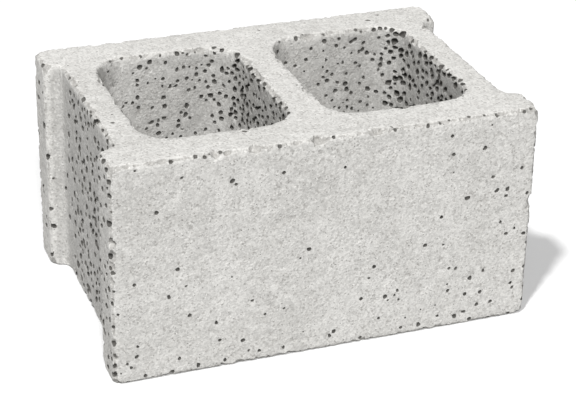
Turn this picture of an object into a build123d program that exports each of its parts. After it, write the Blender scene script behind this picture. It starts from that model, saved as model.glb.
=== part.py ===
"""Hollow concrete masonry block with two cores, cast as one piece.

The block lies on its lower bed, as it is laid in a wall. X runs along its length, Y through the
wall's thickness and Z up. The origin is the centre of the lower bed. Sizes are in millimetres.

Two face shells run the full length, at the front and at the back. Three webs join them, one at
each end and one in the middle, and leave two cores that go right through. The end webs are set
back between the shells' ends, so each end has a shallow recess between two flanges, which takes
the mortar of the upright joint.

The block is pushed down out of a mould that holds tapered core plugs. The cores are therefore
narrower at the upper bed, and the shells and webs are thickest there, where the next bed of
mortar goes.
"""

from build123d import *
import os

# Overall size
LENGTH = 375.0
WIDTH = 250.0
HEIGHT = 200.0

# Walls at the upper bed, where they are thickest
SHELL_AT_TOP = 40.0
END_WEB_AT_TOP = 27.0
MIDDLE_WEB_AT_TOP = 33.0

# Cores
CORE_CORNER_AT_TOP = 28.0
CORE_DRAFT = 3.0  # how much thinner each wall is at the lower bed, on each side that meets a core
PLUG_OVERRUN = 10.0  # the plugs run past both beds, so that they cut them cleanly

# Recess at each end
FLANGE_WIDTH = 36.0
RECESS_DEPTH = 15.0
RECESS_SIDE_RUN = 2.0  # how far each side of the recess leans inwards over its depth
RECESS_FLOOR_RADIUS = 8.0

# Eased edges
FLANGE_CORNER_RADIUS = 2.0
BED_EDGE_CHAMFER = 1.2  # round the outside and round the cores, on both beds


def half_outline():
    """The corners of the left end, from the front corner through the recess to the back corner."""
    end = -LENGTH / 2
    floor = end + RECESS_DEPTH
    mouth = WIDTH / 2 - FLANGE_WIDTH
    foot = mouth - RECESS_SIDE_RUN
    return [
        (end, -WIDTH / 2),
        (end, -mouth),
        (floor, -foot),
        (floor, foot),
        (end, mouth),
        (end, WIDTH / 2),
    ]


def outline():
    """The block seen from above without its cores, as a face on the lower bed."""
    left = half_outline()
    right = [(-x, y) for x, y in reversed(left)]
    face = make_face(Polyline(*left, *right, close=True))
    by_length = face.vertices().group_by(Axis.X)
    face = fillet(by_length[1] + by_length[-2], RECESS_FLOOR_RADIUS)
    by_length = face.vertices().group_by(Axis.X)
    return fillet(by_length[0] + by_length[-1], FLANGE_CORNER_RADIUS)


def core_size_at_top():
    """A core's length and width at the upper bed, as the walls round it leave them."""
    length_for_cores = LENGTH - 2 * RECESS_DEPTH - 2 * END_WEB_AT_TOP - MIDDLE_WEB_AT_TOP
    return length_for_cores / 2, WIDTH - 2 * SHELL_AT_TOP


def core_section(z):
    """A core's section at height z. Its sides and corners move out evenly towards the lower bed."""
    outwards = CORE_DRAFT * (HEIGHT - z) / HEIGHT
    length, width = core_size_at_top()
    section = RectangleRounded(
        length + 2 * outwards, width + 2 * outwards, CORE_CORNER_AT_TOP + outwards
    )
    return Pos(0, 0, z) * section


def core_plug():
    """The tapered plug that leaves one core, with the core's own axis on the origin."""
    return loft([core_section(-PLUG_OVERRUN), core_section(HEIGHT + PLUG_OVERRUN)], ruled=True)


def concrete_block():
    """The outline raised to the block's height, less its two cores, with eased edges."""
    block = extrude(outline(), HEIGHT)
    core_offset = (core_size_at_top()[0] + MIDDLE_WEB_AT_TOP) / 2
    for side in (-1, 1):
        block -= Pos(side * core_offset, 0, 0) * core_plug()
    beds = block.faces().filter_by(Axis.Z)
    return chamfer(beds.edges(), BED_EDGE_CHAMFER)


os.makedirs("parts", exist_ok=True)
block = concrete_block()
export_step(block, "parts/concrete_block.step")
print("volume in litres", round(block.volume / 1e6, 3))
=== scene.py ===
"""A hollow concrete block on a pale studio floor, with its rough cast surface worked into the mesh.

The block's true shape comes from the frame. It is turned into a field of distances to the surface,
in millimetres. Wear, chips, pores and open texture each take a little away from that field, and
nothing is ever added outside it, so the block keeps its size. The field is then meshed again.
"""

import math

import bpy
import numpy as np
import openvdb
from mathutils import Matrix, Vector


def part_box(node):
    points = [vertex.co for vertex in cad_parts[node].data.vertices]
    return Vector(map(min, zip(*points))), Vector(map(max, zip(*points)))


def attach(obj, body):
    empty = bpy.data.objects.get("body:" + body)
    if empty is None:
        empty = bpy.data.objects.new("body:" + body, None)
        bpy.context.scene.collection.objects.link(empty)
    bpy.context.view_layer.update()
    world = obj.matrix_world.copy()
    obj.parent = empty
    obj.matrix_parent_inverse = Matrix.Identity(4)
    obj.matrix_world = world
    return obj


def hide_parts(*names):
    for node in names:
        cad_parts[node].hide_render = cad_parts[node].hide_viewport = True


NODE = "concrete_block"
MM = 0.001

# Camera, in degrees and metres, with its lens and sensor in millimetres. Azimuth 0 looks along +Y,
# and a negative one stands further left.
AZIMUTH = -20.75
ELEVATION = 27.21
ROLL = 1.17
CAMERA_DISTANCE = 1.651
CAMERA_TARGET = Vector((0.0058, -0.0109, 0.0842))
LENS = 116.1
SENSOR = 36.0

# Lamps, each with an azimuth, an elevation and a spread in degrees, and a level. A sheet of white
# paper on the floor, lit by them and by the sky, would render as about 1.
KEY = (-46.0, 57.0, 4.0, 0.68)
FILL = (-13.0, 42.0, 10.0, 0.54)
LAMP_TARGET = Vector((0, 0, 0.1))
LAMP_DISTANCE = 2.0
SKY_LEVEL = 0.24

# Floor: half its side in metres, how pale it is to the eye and to the light that it reflects, and
# how rough and how shiny it is
FLOOR_HALF = 6.0
FLOOR_SEEN = 0.93
FLOOR_BOUNCE = 0.42
FLOOR_ROUGHNESS = 0.9
FLOOR_SHINE = 0.1

# The field's grid, and how far from the surface it knows the distance, in millimetres
VOXEL = 0.8
BAND = 9.0

# The mesh's triangles, and the angle in degrees from which an edge looks sharp
TRIANGLES = 190000
CREASE = 32.0

# Places on the block, in millimetres
SKIN = 1.0  # closer to the box's side than this is outside
RECESS_REACH = 20.0  # closer to an end than this, and not outside, is in a recess
CORE_CENTRE = 81.0
CORE_LENGTH = 129.0

SEED = 7

# Size of the lumps in each noise, in millimetres
COARSE = 13.0
MEDIUM = 4.6
FINE = 2.4

# Wear of the arrises. It goes by the share of the space round a place that the block fills, which
# is about a half on a flat face and less on an arris. What lies under a certain share is lost: under
# WEAR_LEAST everywhere, and here and there under up to WEAR_WANDER more, but not above WEAR_MOST.
SHARE_REACH = 6.0  # how far round, in millimetres
SHARE_DEPTH = 18.0  # how many millimetres a change of 1 in that share stands for
WEAR_BELOW = 0.47  # places that fill more than this are left alone
WEAR_LEAST = 0.24
WEAR_WANDER = 0.16
WEAR_MOST = 0.45

# Loose grains in the worn arrises: their size in millimetres, and how much more is lost in the gaps
# between them, which comes in over GRAIN_FADE
COARSE_GRAIN = 5.2
COARSE_GAPS = 0.17
FINE_GRAIN = 2.6
FINE_GAPS = 0.10
GRAIN_FADE = 0.15

# Crumbs and chips knocked out of the arrises: how many, their radii and their bites in millimetres
CHIPS = ((1300, (1.4, 3.6), (0.6, 1.9)), (150, (4.0, 8.0), (0.9, 2.7)))
CHIPS_BELOW = 0.31  # in filled share
CHIP_SQUEEZE = (0.6, 1.3)  # each way, at least and at most
CHIP_ROUGHNESS = 0.5
CHIP_ROUGHNESS_PER_RADIUS = 0.45

# Dips in the faces, where the mixed noise is above DIPS_ABOVE
MEDIUM_IN_DIPS = 0.55
FINE_IN_DIPS = 0.45
DIPS_ABOVE = 0.59
DIP_DEPTH = 2.6

# A hollow is cut off at this many times its radius, plus its roughness
HOLLOW_REACH = 2.8

# Pores, in millimetres where nothing else is said
PORE_RADII = (1.1, 1.9)
PORE_GAP = 4.2  # at least, between two middles, and PORE_STRETCH times as much along the lean
PORE_ROUGHNESS = 1.4
PORE_SQUEEZE = (0.7, 1.3)  # each way, at least and at most
PORE_SINK = (0.1, 0.6)  # how far under the skin their middles lie, as a share of the radius

# On faces turned left the pores are larger, longer than wide, and lean down towards the back by an
# angle in degrees, so that they look nearly as round as they are drawn
PORE_GROWTH = 0.3
PORE_STRETCH = 1.9
PORE_LEAN = 28.8

# Pores on 1,000 square millimetres of each kind of face
WALL_PORES = 5.0
BACK_WALL_PORES = 4.0
BACK_WALL_RISE = 18.0  # how many more at the right of each core
RIGHT_WALL_PORES = 37.0
RIGHT_WALL_RISE = 10.0  # how many more, rising from mid-thickness to the block's front face
SHELL_PORES = 0.4
FOOT_PORES = 5.6
RIGHT_END_PORES = 5.0
FRONT_FLANGE_PORES = 8.0
BACK_FLANGE_PORES = 3.0
RECESS_PORES = 13.0
RECESS_SIDE_PORES = 1.0
BED_PORES = 0.15
ARRIS_PORES = 9.0

# Where the pores thin out
SQUARELY = 0.7  # a face counts as facing an axis where its normal has this much of it
CORE_THIN_BELOW = 120.0  # in millimetres above the bed
CORE_THINNEST = 0.4
FOOT_REACH = 0.15  # as a share of the height
RIGHT_END_REACH = 0.10  # as a share of the length
RECESS_PORES_END = 85.0  # in millimetres towards the back
RECESS_PORES_FADE = 60.0
ARRIS_BELOW = 0.42  # in filled share, as the wear is
ARRIS_FADE = 0.1

# Painted shade on faces inside the block's box, that is the recesses and the core walls: it starts
# this many millimetres in, is full that many further, and at the left of each core is only this share
# of that, growing to the right.
PAINTED_SHADE_FROM = 3.0
PAINTED_SHADE_FADE = 4.0
PAINTED_SHADE_LEAST = 0.3

# Colours of the concrete, and how strongly each lies over the paste
DARK_PASTE = (0.585, 0.575, 0.55, 1.0)
PALE_PASTE = (0.665, 0.655, 0.63, 1.0)
PALE_PATCH = (0.72, 0.71, 0.685, 1.0)
PALE_PATCH_SHARE = 0.6
# How dark the painted shade makes the recesses and the core walls
PAINTED_SHADE_LEVEL = 0.79
BROKEN = (0.40, 0.39, 0.37, 1.0)
BROKEN_SHARE = 0.8
DARK_GRAIN = (0.30, 0.285, 0.265, 1.0)
PALE_GRAIN = (0.82, 0.81, 0.78, 1.0)
GRAIN_SHARE = 0.45
# Pinholes: painted shade in holes that are only in the relief
PINHOLE = (0.20, 0.19, 0.175, 1.0)
PINHOLE_SHARE = 0.6
# A pore's dark inside: partly dirt, partly painted shade
PORE = (0.10, 0.096, 0.088, 1.0)
PORE_SHARE = 0.92

# Levels that the tones of the grains, and of the sand between them, run over
GRAIN_TONES = (0.88, 1.10)
SAND_TONES = (0.93, 1.06)

# How deep broken concrete starts to show, and shows fully, in millimetres under the cast skin, and
# the same for the dark of a pore under the worn skin
BROKEN_UNDER = (0.12, 0.9)
PORE_UNDER = (0.06, 0.5)

# Where in each noise, which runs from 0 to 1, a change starts and where it is complete
MOTTLE_EDGE = (0.3, 0.7)
PATCH_EDGE = (0.35, 0.7)
STONE_PATCH_EDGE = (0.35, 0.65)
SAND_EDGE = (0.3, 0.7)
ROUGHNESS_EDGE = (0.2, 0.8)

# Each grain and each place for a pinhole has random numbers from 0 to 1. A grain starts to be dark
# or pale, or a pinhole to show, at the first number here, and does so fully from the second.
ODD_GRAINS = (0.90, 0.94)
PINHOLES = (0.60, 0.62)

# How far from its middle a pinhole or a domed grain starts to fade, and where it ends, in cells
PINHOLE_RIM = (0.10, 0.17)
DOME = (0.05, 0.62)

# How rough the concrete is, and how shiny
CONCRETE_ROUGHNESS = (0.84, 0.97)
CONCRETE_SHINE = 0.3

# Scales of the material's textures, in lumps to the metre
MOTTLE_SCALE = 16
PATCH_SCALE = 75
STONE_PATCH_SCALE = 90
PINHOLE_SCALE = 300
STONE_SCALE = 360
GRAIN_COLOUR_SCALE = 620
GRAIN_SCALE = 900
SAND_SCALE = 1500

# Heights of the material's relief, in millimetres
STONE_HEIGHT = 0.26
GRAIN_HEIGHT = 0.11
SAND_HEIGHT = 0.16
PINHOLE_DEPTH = 0.45
STONES_LEAST = 0.25  # the share of STONE_HEIGHT that is left in the smoothest patches


def direction(azimuth, elevation):
    """The unit vector towards a place seen at that azimuth and elevation, in degrees."""
    az, el = math.radians(azimuth), math.radians(elevation)
    return Vector((math.sin(az) * math.cos(el), -math.cos(az) * math.cos(el), math.sin(el)))


def look(obj, towards_viewer, target, distance, roll=0.0):
    """Places obj at that distance from target, with its -Z axis pointing at the target."""
    back = towards_viewer.normalized()
    right = Vector((0, 0, 1)).cross(back).normalized()
    up = back.cross(right)
    turn = math.radians(roll)
    right, up = (
        right * math.cos(turn) + up * math.sin(turn),
        up * math.cos(turn) - right * math.sin(turn),
    )
    place = target + back * distance
    obj.matrix_world = Matrix.Translation(place) @ Matrix((right, up, back)).transposed().to_4x4()


def add_camera():
    """A long lens at the photograph's viewing angle."""
    data = bpy.data.cameras.new("camera")
    data.lens = LENS
    data.sensor_width = SENSOR
    camera = bpy.data.objects.new("camera", data)
    bpy.context.scene.collection.objects.link(camera)
    look(camera, direction(AZIMUTH, ELEVATION), CAMERA_TARGET, CAMERA_DISTANCE, ROLL)
    bpy.context.scene.camera = camera


def add_lamp(name, azimuth, elevation, spread, level):
    """A distant lamp, so that the block and all the floor are lit alike."""
    data = bpy.data.lights.new(name, "SUN")
    data.angle = math.radians(spread)
    data.energy = level * math.pi
    lamp = bpy.data.objects.new(name, data)
    bpy.context.scene.collection.objects.link(lamp)
    look(lamp, direction(azimuth, elevation), LAMP_TARGET, LAMP_DISTANCE)


def add_world():
    """Even pale light all round, which the camera sees as white."""
    world = bpy.data.worlds.new("studio")
    bpy.context.scene.world = world
    world.use_nodes = True
    tree = world.node_tree
    tree.nodes.clear()
    out = tree.nodes.new("ShaderNodeOutputWorld")
    light = tree.nodes.new("ShaderNodeBackground")
    light.inputs["Color"].default_value = (1.0, 1.0, 1.0, 1.0)
    light.inputs["Strength"].default_value = SKY_LEVEL
    seen = tree.nodes.new("ShaderNodeBackground")
    seen.inputs["Color"].default_value = (1.0, 1.0, 1.0, 1.0)
    seen.inputs["Strength"].default_value = 1.0
    path = tree.nodes.new("ShaderNodeLightPath")
    either = tree.nodes.new("ShaderNodeMath")
    either.operation = "MAXIMUM"
    mix = tree.nodes.new("ShaderNodeMixShader")
    link = tree.links.new
    link(path.outputs["Is Camera Ray"], either.inputs[0])
    link(path.outputs["Is Glossy Ray"], either.inputs[1])
    link(either.outputs[0], mix.inputs["Fac"])
    link(light.outputs[0], mix.inputs[1])
    link(seen.outputs[0], mix.inputs[2])
    link(mix.outputs[0], out.inputs["Surface"])


def add_floor():
    """A plain floor, white to the eye and grey to the light that it throws back at the block."""
    half = FLOOR_HALF
    corners = [(-half, -half, 0), (half, -half, 0), (half, half, 0), (-half, half, 0)]
    mesh = bpy.data.meshes.new("floor")
    mesh.from_pydata(corners, [], [(0, 1, 2, 3)])
    floor = bpy.data.objects.new("floor", mesh)
    bpy.context.scene.collection.objects.link(floor)
    material = bpy.data.materials.new("floor")
    material.use_nodes = True
    tree = material.node_tree
    shader = tree.nodes["Principled BSDF"]
    shader.inputs["Roughness"].default_value = FLOOR_ROUGHNESS
    shader.inputs["Specular IOR Level"].default_value = FLOOR_SHINE
    path = tree.nodes.new("ShaderNodeLightPath")
    level = tree.nodes.new("ShaderNodeMapRange")
    level.inputs["To Min"].default_value = FLOOR_BOUNCE
    level.inputs["To Max"].default_value = FLOOR_SEEN
    tree.links.new(path.outputs["Is Camera Ray"], level.inputs["Value"])
    tree.links.new(level.outputs["Result"], shader.inputs["Base Color"])
    mesh.materials.append(material)


class Field:
    """Distances to the block's surface on an even grid, in millimetres, negative inside it."""

    def __init__(self, obj):
        mesh = obj.data
        mesh.calc_loop_triangles()
        points = np.empty(len(mesh.vertices) * 3, np.float32)
        mesh.vertices.foreach_get("co", points)
        corners = np.empty(len(mesh.loop_triangles) * 3, np.int32)
        mesh.loop_triangles.foreach_get("vertices", corners)
        self.transform = openvdb.createLinearTransform(voxelSize=VOXEL)
        grid = openvdb.FloatGrid.createLevelSetFromPolygons(
            points.reshape(-1, 3).astype(np.float64) / MM,
            triangles=corners.reshape(-1, 3),
            transform=self.transform,
            halfWidth=BAND / VOXEL,
        )
        self.low, high = (np.array(corner) for corner in grid.evalActiveVoxelBoundingBox())
        self.shape = tuple(int(n) for n in high - self.low + 1)
        self.cast = np.empty(self.shape, np.float32)
        grid.copyToArray(self.cast, ijk=tuple(int(i) for i in self.low))
        self.now = self.cast.copy()

    def noise(self, size, seed):
        """Smooth noise from 0 to 1, with features about that size across, in millimetres."""
        rng = np.random.default_rng(seed)
        step = VOXEL / size
        values = rng.random([int(n * step) + 3 for n in self.shape], dtype=np.float32)
        offset = rng.random(3)
        for number, n in enumerate(self.shape):
            place = np.arange(n) * step + offset[number]
            low = place.astype(int)
            part = place - low
            part = (part * part * (3 - 2 * part)).astype(np.float32)
            spread = [1, 1, 1]
            spread[number] = -1
            start = np.take(values, low, axis=number)
            end = np.take(values, low + 1, axis=number)
            end -= start
            end *= part.reshape(spread)
            start += end
            values = start
        return values

    def grains(self, size, seed, chosen):
        """At the chosen places, 0 in the middle of a grain and about 0.6 in the gaps between them."""
        rng = np.random.default_rng(seed)
        step = VOXEL / size
        middles = rng.random([int(n * step) + 4 for n in self.shape] + [3], dtype=np.float32)
        place = np.stack(np.nonzero(chosen), axis=1).astype(np.float32) * step + 1
        cell = place.astype(int)
        nearest = np.full(len(place), np.inf, np.float32)
        for neighbour in np.ndindex(3, 3, 3):
            other = cell + neighbour - 1
            away = middles[tuple(other.T)] + other - place
            np.minimum(nearest, np.einsum("ij,ij->i", away, away), out=nearest)
        return nearest

    def filled_share(self, reach):
        """How much of the space within about reach of each place is inside the cast block."""
        share = np.clip(0.5 - self.cast / VOXEL, 0, 1)
        half = max(1, round(reach / VOXEL / 2))
        for number in range(3):
            for _ in range(3):
                share = box_blur(share, half, number)
        return share

    def cut(self, other):
        """Takes away whatever lies outside the other field."""
        np.maximum(self.now, other, out=self.now)

    def sample(self, values, points):
        """The values at points, in millimetres, from the eight grid places round each."""
        place = points / VOXEL - self.low
        just_inside = np.array(self.shape) - 1.001
        place = np.clip(place, 0, just_inside)
        low = place.astype(int)
        part = (place - low).astype(np.float32)
        total = np.zeros(len(points), np.float32)
        for corner in np.ndindex(2, 2, 2):
            weight = np.prod(np.where(corner, part, 1 - part), axis=1)
            i, j, k = (low + corner).T
            total += weight * values[i, j, k]
        return total

    def surface(self, values):
        """The corner points and quads of the surface where values is zero, in millimetres."""
        grid = openvdb.FloatGrid(BAND)
        grid.copyFromArray(values, ijk=tuple(int(i) for i in self.low))
        grid.transform = self.transform
        return grid.convertToQuads(isovalue=0.0)

    def carve(self, centre, radius, squeeze, rough, roughness):
        """Takes a rough-sided hollow out: what a 3 x 3 matrix turns into a ball of that radius."""
        reach = radius * HOLLOW_REACH + roughness
        low = np.floor((centre - reach) / VOXEL - self.low).astype(int)
        high = np.ceil((centre + reach) / VOXEL - self.low).astype(int) + 1
        low = np.clip(low, 0, self.shape)
        high = np.clip(high, 0, self.shape)
        if (high <= low).any():
            return
        box = tuple(slice(a, b) for a, b in zip(low, high))
        steps = [np.arange(a, b) for a, b in zip(low, high)]
        away = [(step + self.low[n]) * VOXEL - centre[n] for n, step in enumerate(steps)]
        x, y, z = np.meshgrid(*away, indexing="ij", sparse=True)
        squares = 0
        for row in squeeze:
            squares = squares + (row[0] * x + row[1] * y + row[2] * z) ** 2
        ball = radius - np.sqrt(squares) + roughness * (rough[box] - 0.5)
        np.maximum(self.now[box], ball, out=self.now[box])


def box_blur(values, half, number):
    """Averages each place with its neighbours, half steps each way along one axis."""
    width = 2 * half + 1
    pad = [(0, 0)] * 3
    pad[number] = (half + 1, half)
    total = np.cumsum(np.pad(values, pad, mode="edge"), axis=number, dtype=np.float32)
    n = values.shape[number]
    after = np.take(total, np.arange(width, width + n), axis=number)
    before = np.take(total, np.arange(0, n), axis=number)
    return (after - before) / width


def random_squeeze(rng, least, most):
    """A 3 x 3 matrix for a hollow that isn't round: a turn, and a squeeze along each axis."""
    turn, _ = np.linalg.qr(rng.normal(size=(3, 3)))
    return turn * rng.uniform(least, most, size=(3, 1))


def normals_at(field, values, points):
    """The direction in which values rises fastest at points."""
    out = np.empty((len(points), 3), np.float32)
    for number in range(3):
        step = np.zeros(3)
        step[number] = VOXEL
        out[:, number] = field.sample(values, points + step) - field.sample(values, points - step)
    return out / np.maximum(np.linalg.norm(out, axis=1, keepdims=True), 1e-6)


def wear_edges(field, share, slow):
    """Rounds every arris into loose grains, by an amount that wanders along it."""
    near = (share < WEAR_BELOW) & (field.cast < VOXEL)
    coarse = field.grains(COARSE_GRAIN, SEED + 11, near)
    fine = field.grains(FINE_GRAIN, SEED + 12, near)
    fading = np.clip((WEAR_BELOW - share[near]) / GRAIN_FADE, 0, 1)
    gaps = (COARSE_GAPS * coarse + FINE_GAPS * fine) * fading
    lost_below = WEAR_LEAST + WEAR_WANDER * slow[near] + gaps
    worn = (np.minimum(lost_below, WEAR_MOST) - share[near]) * SHARE_DEPTH
    field.now[near] = np.maximum(field.now[near], worn)


def chip_edges(field, share, points, rough, rng):
    """Knocks crumbs and a few larger chips out of the arrises."""
    at = field.sample(share, points)
    on_edge = points[at < CHIPS_BELOW]
    outwards = -normals_at(field, share, on_edge)
    chances = np.arange(len(on_edge))
    for count, radii, bites in CHIPS:
        for i in rng.choice(chances, count, replace=False):
            radius = rng.uniform(*radii)
            bite = rng.uniform(*bites)
            centre = on_edge[i] + outwards[i] * (radius - bite)
            shape = random_squeeze(rng, *CHIP_SQUEEZE)
            roughness = CHIP_ROUGHNESS + CHIP_ROUGHNESS_PER_RADIUS * radius
            field.carve(centre, radius, shape, rough, roughness)


def roughen(field, medium, fine):
    """Sinks small patches of every face below the moulded skin, which stays where it is."""
    dips = np.clip(MEDIUM_IN_DIPS * medium + FINE_IN_DIPS * fine - DIPS_ABOVE, 0, None)
    field.cut(field.cast + dips * DIP_DEPTH)


def across_core(x):
    """0 at the left end of the core that x is in, and 1 at its right end."""
    return np.clip(0.5 + (x - np.sign(x) * CORE_CENTRE) / CORE_LENGTH, 0, 1)


def pores_per_area(points, normals, filled, low, high):
    """How many pores there are per square millimetre at each point, as dense as they are drawn."""
    x, y, z = points.T
    along, _, up = ((points - low) / (high - low)).T
    outer = (np.abs(points - (low + high) / 2) > (high - low) / 2 - SKIN).any(axis=1)
    in_recess = ~outer & (np.abs(x) > high[0] - RECESS_REACH)
    to_x, to_y, _ = np.clip(normals, -1, 1).T
    along_x, along_y, along_z = (np.abs(normals) > SQUARELY).T

    # Core walls: few at the left of each core, and most on the wall at its right
    back_wall = BACK_WALL_PORES + BACK_WALL_RISE * across_core(x) ** 1.5
    right_wall = RIGHT_WALL_PORES + RIGHT_WALL_RISE * np.clip(-y / high[1], 0, 1)
    pores = np.full(len(points), WALL_PORES)
    pores = np.where(to_y < 0, to_y**2 * back_wall + (1 - to_y**2) * pores, pores)
    pores = np.where(to_x < 0, to_x**2 * right_wall + (1 - to_x**2) * pores, pores)
    pores *= np.clip(z / CORE_THIN_BELOW, CORE_THINNEST, 1)

    # Outside: few on the shells, more towards their foot and their right end, and many at the ends
    foot = FOOT_PORES * np.exp(-up / FOOT_REACH)
    right_end = RIGHT_END_PORES * np.exp((along - 1) / RIGHT_END_REACH)
    pores = np.where(outer & along_y, SHELL_PORES + foot + right_end, pores)
    flanges = np.where(y < 0, FRONT_FLANGE_PORES, BACK_FLANGE_PORES)
    pores = np.where(outer & along_x, flanges, pores)
    floor = RECESS_PORES * np.clip((RECESS_PORES_END - y) / RECESS_PORES_FADE, 0, 1)
    pores = np.where(in_recess, np.where(along_x, floor, RECESS_SIDE_PORES), pores)
    pores = np.where(along_z, BED_PORES, pores)

    # The mix is loosest along the arrises
    pores += ARRIS_PORES * np.clip((ARRIS_BELOW - filled) / ARRIS_FADE, 0, 1)
    return pores / 1000.0


def spread_out(points, gap):
    """Which of the points to keep, in order, so that no two are closer than gap."""
    kept = []
    places = np.empty((len(points), 3))
    for i, point in enumerate(points):
        away = places[: len(kept)] - point
        if not (np.einsum("ij,ij->i", away, away) < gap * gap).any():
            places[len(kept)] = point
            kept.append(i)
    return kept


def open_pores(field, share, points, rough, rng, low, high):
    """Opens the air holes of a dry concrete mix, each a rough little pit in the skin."""
    normals = normals_at(field, field.cast, points)
    density = pores_per_area(points, normals, field.sample(share, points), low, high)
    chosen = rng.random(len(points)) < VOXEL * VOXEL * density
    points, normals = points[chosen], normals[chosen]
    order = rng.permutation(len(points))
    points, normals = points[order], normals[order]
    even = np.identity(3)
    angle = math.radians(PORE_LEAN)
    lean = np.array([0, math.cos(angle), -math.sin(angle)])
    squeeze = (1 / PORE_STRETCH - 1) * np.outer(lean, lean)
    for i in spread_out(points @ (even + squeeze), PORE_GAP):
        facing = max(-normals[i][0], 0)
        radius = rng.uniform(*PORE_RADII) * (1 + PORE_GROWTH * facing)
        centre = points[i] - normals[i] * radius * rng.uniform(*PORE_SINK)
        shape = random_squeeze(rng, *PORE_SQUEEZE) @ (even + squeeze * facing)
        field.carve(centre, radius, shape, rough, PORE_ROUGHNESS)


def in_largest_part(count, triangles):
    """Which triangles belong to the largest part of a mesh that has count corner points."""
    leaders = list(range(count))

    def leader(i):
        while leaders[i] != i:
            leaders[i] = leaders[leaders[i]]
            i = leaders[i]
        return i

    for a, b, c in triangles.tolist():
        leaders[leader(b)] = leader(a)
        leaders[leader(c)] = leader(a)
    parts = np.array([leader(i) for i in range(count)])[triangles[:, 0]]
    return parts == np.bincount(parts).argmax()


def clean(points, triangles):
    """Joins corner points that coincide to a micrometre, and keeps only one closed surface."""
    places = points.round(decimals=3)
    _, first, same = np.unique(places, axis=0, return_index=True, return_inverse=True)
    triangles = same.ravel()[triangles]
    a, b, c = triangles.T
    triangles = triangles[(a != b) & (b != c) & (c != a)]
    corners = np.sort(triangles, axis=1)
    _, number, copies = np.unique(corners, axis=0, return_inverse=True, return_counts=True)
    triangles = triangles[copies[number.ravel()] == 1]
    triangles = triangles[in_largest_part(len(first), triangles)]
    used, triangles = np.unique(triangles, return_inverse=True)
    return points[first[used]], triangles.reshape(-1, 3)


def build_mesh(field, low, high):
    """Meshes the field inside the block's box, and cuts the mesh down to its triangle budget."""
    points, quads = field.surface(field.now)
    points = np.clip(points, low, high)
    dense = bpy.data.meshes.new("dense")
    dense.from_pydata(points * MM, [], quads)
    block = bpy.data.objects.new("cast_concrete", dense)
    bpy.context.scene.collection.objects.link(block)
    cut = block.modifiers.new("cut", "DECIMATE")
    cut.ratio = TRIANGLES / (2 * len(quads))
    cut.use_collapse_triangulate = True
    bpy.context.view_layer.update()
    cut_down = block.evaluated_get(bpy.context.evaluated_depsgraph_get())
    reduced = bpy.data.meshes.new_from_object(cut_down)
    block.modifiers.clear()
    points = np.empty(len(reduced.vertices) * 3, np.float32)
    reduced.vertices.foreach_get("co", points)
    points = np.clip(points.reshape(-1, 3).astype(np.float64) / MM, low, high)
    triangles = np.empty(len(reduced.loops), np.int32)
    reduced.loops.foreach_get("vertex_index", triangles)
    points, triangles = clean(points, triangles.reshape(-1, 3))
    mesh = bpy.data.meshes.new("cast_concrete")
    mesh.from_pydata(points * MM, [], triangles)
    block.data = mesh
    bpy.data.meshes.remove(dense)
    bpy.data.meshes.remove(reduced)
    return block


def write_marks(block, field, skin, low, high):
    """Stores how far each point lies under the worn skin and under the cast one, in millimetres.

    A third mark, from 0 to 1, is painted shade: it tells the recesses and the core walls from the
    outside, and the material paints them darker. It grows from left to right in each core, as the
    drawn shade does.
    """
    mesh = block.data
    points = np.empty(len(mesh.vertices) * 3, np.float32)
    mesh.vertices.foreach_get("co", points)
    points = points.reshape(-1, 3) / MM
    for name, surface in (("depth", skin), ("worn", field.cast)):
        under = np.clip(-field.sample(surface, points), 0, None)
        mesh.attributes.new(name, "FLOAT", "POINT").data.foreach_set("value", under)
    inside = np.minimum(points - low, high - points).min(axis=1)
    x = points[:, 0]
    # Painted shade: full in the recesses, and in each core growing from left to right
    in_core = PAINTED_SHADE_LEAST + (1 - PAINTED_SHADE_LEAST) * across_core(x) ** 2
    shade = np.where(np.abs(x) > high[0] - RECESS_REACH, 1.0, in_core)
    shade *= np.clip((inside - PAINTED_SHADE_FROM) / PAINTED_SHADE_FADE, 0, 1)
    painted_shade = shade.astype(np.float32)
    mesh.attributes.new("painted_shade", "FLOAT", "POINT").data.foreach_set("value", painted_shade)


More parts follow.
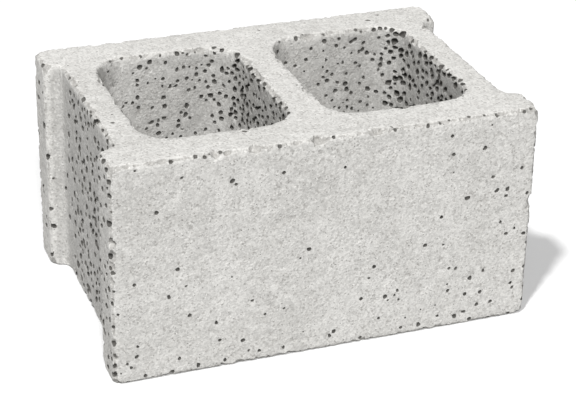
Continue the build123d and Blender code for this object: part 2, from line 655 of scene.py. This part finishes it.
class Tree:
    """A few short ways to write a material's nodes."""

    def __init__(self, name):
        self.material = bpy.data.materials.new(name)
        self.material.use_nodes = True
        self.tree = self.material.node_tree
        self.shader = self.tree.nodes["Principled BSDF"]

    def node(self, kind, **settings):
        """A new shader node with those settings."""
        made = self.tree.nodes.new("ShaderNode" + kind)
        for name, value in settings.items():
            setattr(made, name, value)
        return made

    def link(self, source, target):
        self.tree.links.new(source, target)

    def noise(self, place, scale, detail, rough=0.5):
        """Cloudy noise about a half, in lumps to the metre."""
        made = self.node("TexNoise")
        made.inputs["Scale"].default_value = scale
        made.inputs["Detail"].default_value = detail
        made.inputs["Roughness"].default_value = rough
        self.link(place, made.inputs["Vector"])
        return made.outputs["Fac"]

    def cells(self, place, scale, out):
        """One output of a texture of cells: the distance to a cell's middle, or the cell's colour."""
        made = self.node("TexVoronoi")
        made.inputs["Scale"].default_value = scale
        self.link(place, made.inputs["Vector"])
        return made.outputs[out]

    def between(self, value, low, high, to_low=0.0, to_high=1.0):
        """Runs smoothly from to_low to to_high while value runs from low to high."""
        made = self.node("MapRange", interpolation_type="SMOOTHSTEP")
        self.link(value, made.inputs["Value"])
        levels = {"From Min": low, "From Max": high, "To Min": to_low, "To Max": to_high}
        for name, number in levels.items():
            made.inputs[name].default_value = number
        return made.outputs["Result"]

    def math(self, operation, first, second):
        made = self.node("Math", operation=operation)
        for socket, value in zip(made.inputs, (first, second)):
            if isinstance(value, (int, float)):
                socket.default_value = value
            else:
                self.link(value, socket)
        return made.outputs[0]

    def mix(self, share, first, second, blend="MIX"):
        """The first colour with that share of the second laid over it."""
        made = self.node("Mix", data_type="RGBA", blend_type=blend)
        for name, value in (("Factor_Float", share), ("A_Color", first), ("B_Color", second)):
            socket = next(s for s in made.inputs if s.identifier == name)
            if isinstance(value, (int, float, tuple)):
                socket.default_value = value
            else:
                self.link(value, socket)
        return next(s for s in made.outputs if s.identifier == "Result_Color")


def concrete():
    """Pale grey cast concrete: mottled paste full of sand, with pinholes and dark open pores."""
    t = Tree("cast_concrete")
    place = t.node("TexCoord").outputs["Object"]
    depth = t.node("Attribute", attribute_name="depth").outputs["Fac"]
    worn = t.node("Attribute", attribute_name="worn").outputs["Fac"]
    painted_shade = t.node("Attribute", attribute_name="painted_shade").outputs["Fac"]

    # A slow mottle of darker and paler paste
    slow = t.between(t.noise(place, MOTTLE_SCALE, detail=4), *MOTTLE_EDGE)
    colour = t.mix(slow, DARK_PASTE, PALE_PASTE)
    patch = t.between(t.noise(place, PATCH_SCALE, detail=5, rough=0.6), *PATCH_EDGE)
    colour = t.mix(t.math("MULTIPLY", patch, PALE_PATCH_SHARE), colour, PALE_PATCH)

    # Painted shade on the recesses and the core walls, and broken concrete under the skin, both
    # darker
    painted_shade_tone = t.between(painted_shade, 0.0, 1.0, 1.0, PAINTED_SHADE_LEVEL)
    colour = t.mix(1.0, colour, painted_shade_tone, "MULTIPLY")
    colour = t.mix(t.between(worn, *BROKEN_UNDER, 0.0, BROKEN_SHARE), colour, BROKEN)

    # Sand and fine stone, each grain with a tone of its own
    tone = t.node("SeparateColor")
    t.link(t.cells(place, GRAIN_COLOUR_SCALE, "Color"), tone.inputs[0])
    colour = t.mix(1.0, colour, t.between(tone.outputs[2], 0.0, 1.0, *GRAIN_TONES), "MULTIPLY")
    dark_grain = t.between(tone.outputs[0], *ODD_GRAINS)
    pale_grain = t.between(tone.outputs[1], *ODD_GRAINS)
    colour = t.mix(t.math("MULTIPLY", dark_grain, GRAIN_SHARE), colour, DARK_GRAIN)
    colour = t.mix(t.math("MULTIPLY", pale_grain, GRAIN_SHARE), colour, PALE_GRAIN)
    sand = t.noise(place, SAND_SCALE, detail=3, rough=0.7)
    colour = t.mix(1.0, colour, t.between(sand, *SAND_EDGE, *SAND_TONES), "MULTIPLY")

    # Pinholes in some places only, painted dark as painted shade in holes that only the relief makes,
    # and the pores that the mesh has
    hole = t.between(t.cells(place, PINHOLE_SCALE, "Distance"), *PINHOLE_RIM, 1.0, 0.0)
    lucky = t.node("SeparateColor")
    t.link(t.cells(place, PINHOLE_SCALE, "Color"), lucky.inputs[0])
    pinhole = t.math("MULTIPLY", hole, t.between(lucky.outputs[0], *PINHOLES))
    colour = t.mix(t.math("MULTIPLY", pinhole, PINHOLE_SHARE), colour, PINHOLE)
    # The pores' dark insides are partly dirt and partly painted shade
    sunk = t.between(depth, *PORE_UNDER)
    colour = t.mix(t.math("MULTIPLY", sunk, PORE_SHARE), colour, PORE)
    t.link(colour, t.shader.inputs["Base Color"])

    rough = t.between(sand, *ROUGHNESS_EDGE, *CONCRETE_ROUGHNESS)
    t.link(rough, t.shader.inputs["Roughness"])
    t.shader.inputs["Specular IOR Level"].default_value = CONCRETE_SHINE

    # Relief in millimetres: domed grains of two sizes, sand between them, and the pinholes
    stones = t.between(t.cells(place, STONE_SCALE, "Distance"), *DOME, STONE_HEIGHT, 0.0)
    patches = t.noise(place, STONE_PATCH_SCALE, detail=3)
    patches = t.between(patches, *STONE_PATCH_EDGE, STONES_LEAST, 1.0)
    stones = t.math("MULTIPLY", stones, patches)
    grains = t.between(t.cells(place, GRAIN_SCALE, "Distance"), *DOME, GRAIN_HEIGHT, 0.0)
    relief = t.math("ADD", stones, grains)
    relief = t.math("ADD", relief, t.math("MULTIPLY", sand, SAND_HEIGHT))
    relief = t.math("SUBTRACT", relief, t.math("MULTIPLY", pinhole, PINHOLE_DEPTH))
    bump = t.node("Bump")
    bump.inputs["Distance"].default_value = MM
    t.link(relief, bump.inputs["Height"])
    t.link(bump.outputs["Normal"], t.shader.inputs["Normal"])
    return t.material


def make_block(frame):
    """The cast block, rebuilt from the frame's node with its worn and porous surface."""
    node = frame["nodes"][NODE]
    low, high = (np.array(corner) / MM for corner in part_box(NODE))
    rng = np.random.default_rng(SEED)
    field = Field(node)
    points, _ = field.surface(field.cast)
    points = points.astype(np.float64)

    coarse = field.noise(COARSE, SEED + 1)
    medium = field.noise(MEDIUM, SEED + 2)
    fine = field.noise(FINE, SEED + 3)
    share = field.filled_share(SHARE_REACH)
    wear_edges(field, share, 0.5 * coarse + 0.5 * medium)
    chip_edges(field, share, points, 0.5 * medium + 0.5 * fine, rng)
    roughen(field, medium, fine)
    skin = field.now.copy()
    open_pores(field, share, points, fine, rng, low, high)

    block = build_mesh(field, low, high)
    write_marks(block, field, skin, low, high)
    block.data.shade_smooth()
    block.data.set_sharp_from_angle(angle=math.radians(CREASE))
    block.data.materials.append(concrete())
    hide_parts(NODE)
    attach(block, "root")


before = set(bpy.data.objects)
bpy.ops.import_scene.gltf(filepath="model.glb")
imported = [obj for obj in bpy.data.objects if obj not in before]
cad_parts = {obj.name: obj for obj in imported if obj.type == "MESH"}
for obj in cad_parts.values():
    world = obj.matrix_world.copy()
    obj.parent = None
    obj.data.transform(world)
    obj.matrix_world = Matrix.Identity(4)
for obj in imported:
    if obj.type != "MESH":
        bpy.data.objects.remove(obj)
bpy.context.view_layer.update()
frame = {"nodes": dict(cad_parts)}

scene = bpy.context.scene
scene.view_settings.view_transform = "Standard"
add_camera()
add_world()
add_lamp("key", *KEY)
add_lamp("fill", *FILL)
add_floor()
make_block(frame)
